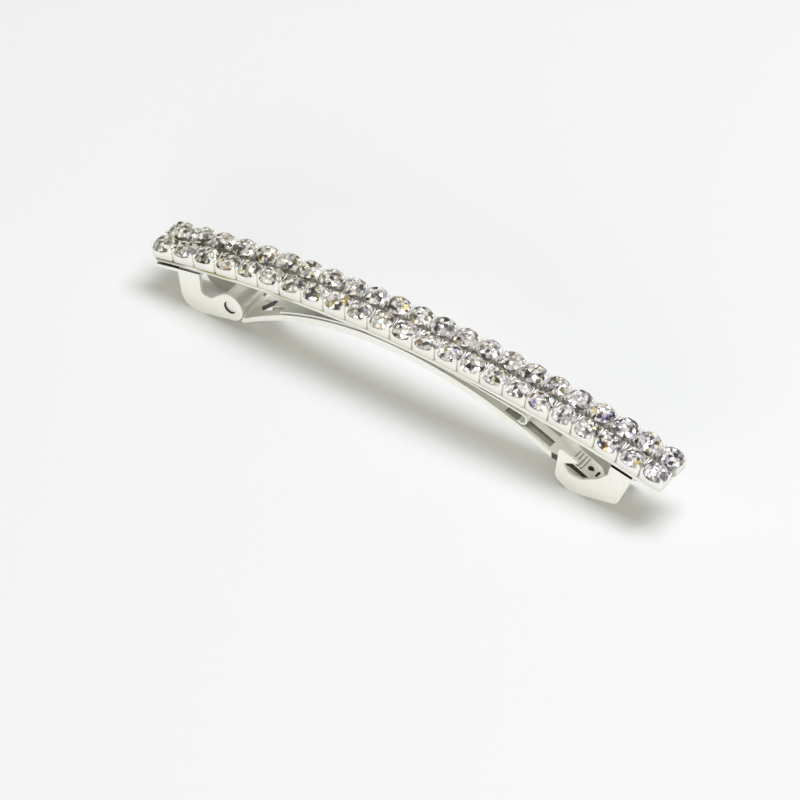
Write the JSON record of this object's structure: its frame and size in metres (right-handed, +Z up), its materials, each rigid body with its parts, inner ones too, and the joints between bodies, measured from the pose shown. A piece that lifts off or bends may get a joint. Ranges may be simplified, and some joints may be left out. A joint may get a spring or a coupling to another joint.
{
  "type": "rhinestone barrette hair clip",
  "caption": "Arched barrette with rows of clear cut stones in square cups, and under it a hinged tongue with a leaf spring that snaps into a hooked clasp.",
  "frame": {"origin": "on the table under the middle of the clip", "axes": "+X along the bar from the hinge end to the clasp end, -Y towards the front row of stones, +Z up, out of the stones"},
  "size_m": [0.08, 0.0066, 0.0133],
  "materials": {
    "plating": "bright silver plating on brass",
    "spring_plating": "bright plated spring steel",
    "crystal": "clear cut glass with a bright foil back"
  },
  "bodies": {
    "barrette": {"base_bar": "plating", "cup_row_front": "plating", "cup_row_back": "plating", "stones_front": "crystal", "stones_back": "crystal", "hinge_bracket": "plating", "clasp_bracket": "plating"},
    "tongue_arm": {"tongue": "plating", "tension_spring": "spring_plating"}
  },
  "joints": [
    {"name": "tongue_hinge", "type": "hinge", "parent": "barrette", "child": "tongue_arm", "pos_m": [-0.02713, 0, 0.00315], "axis": [0, 1, 0], "range_deg": [0, 60]}
  ]
}
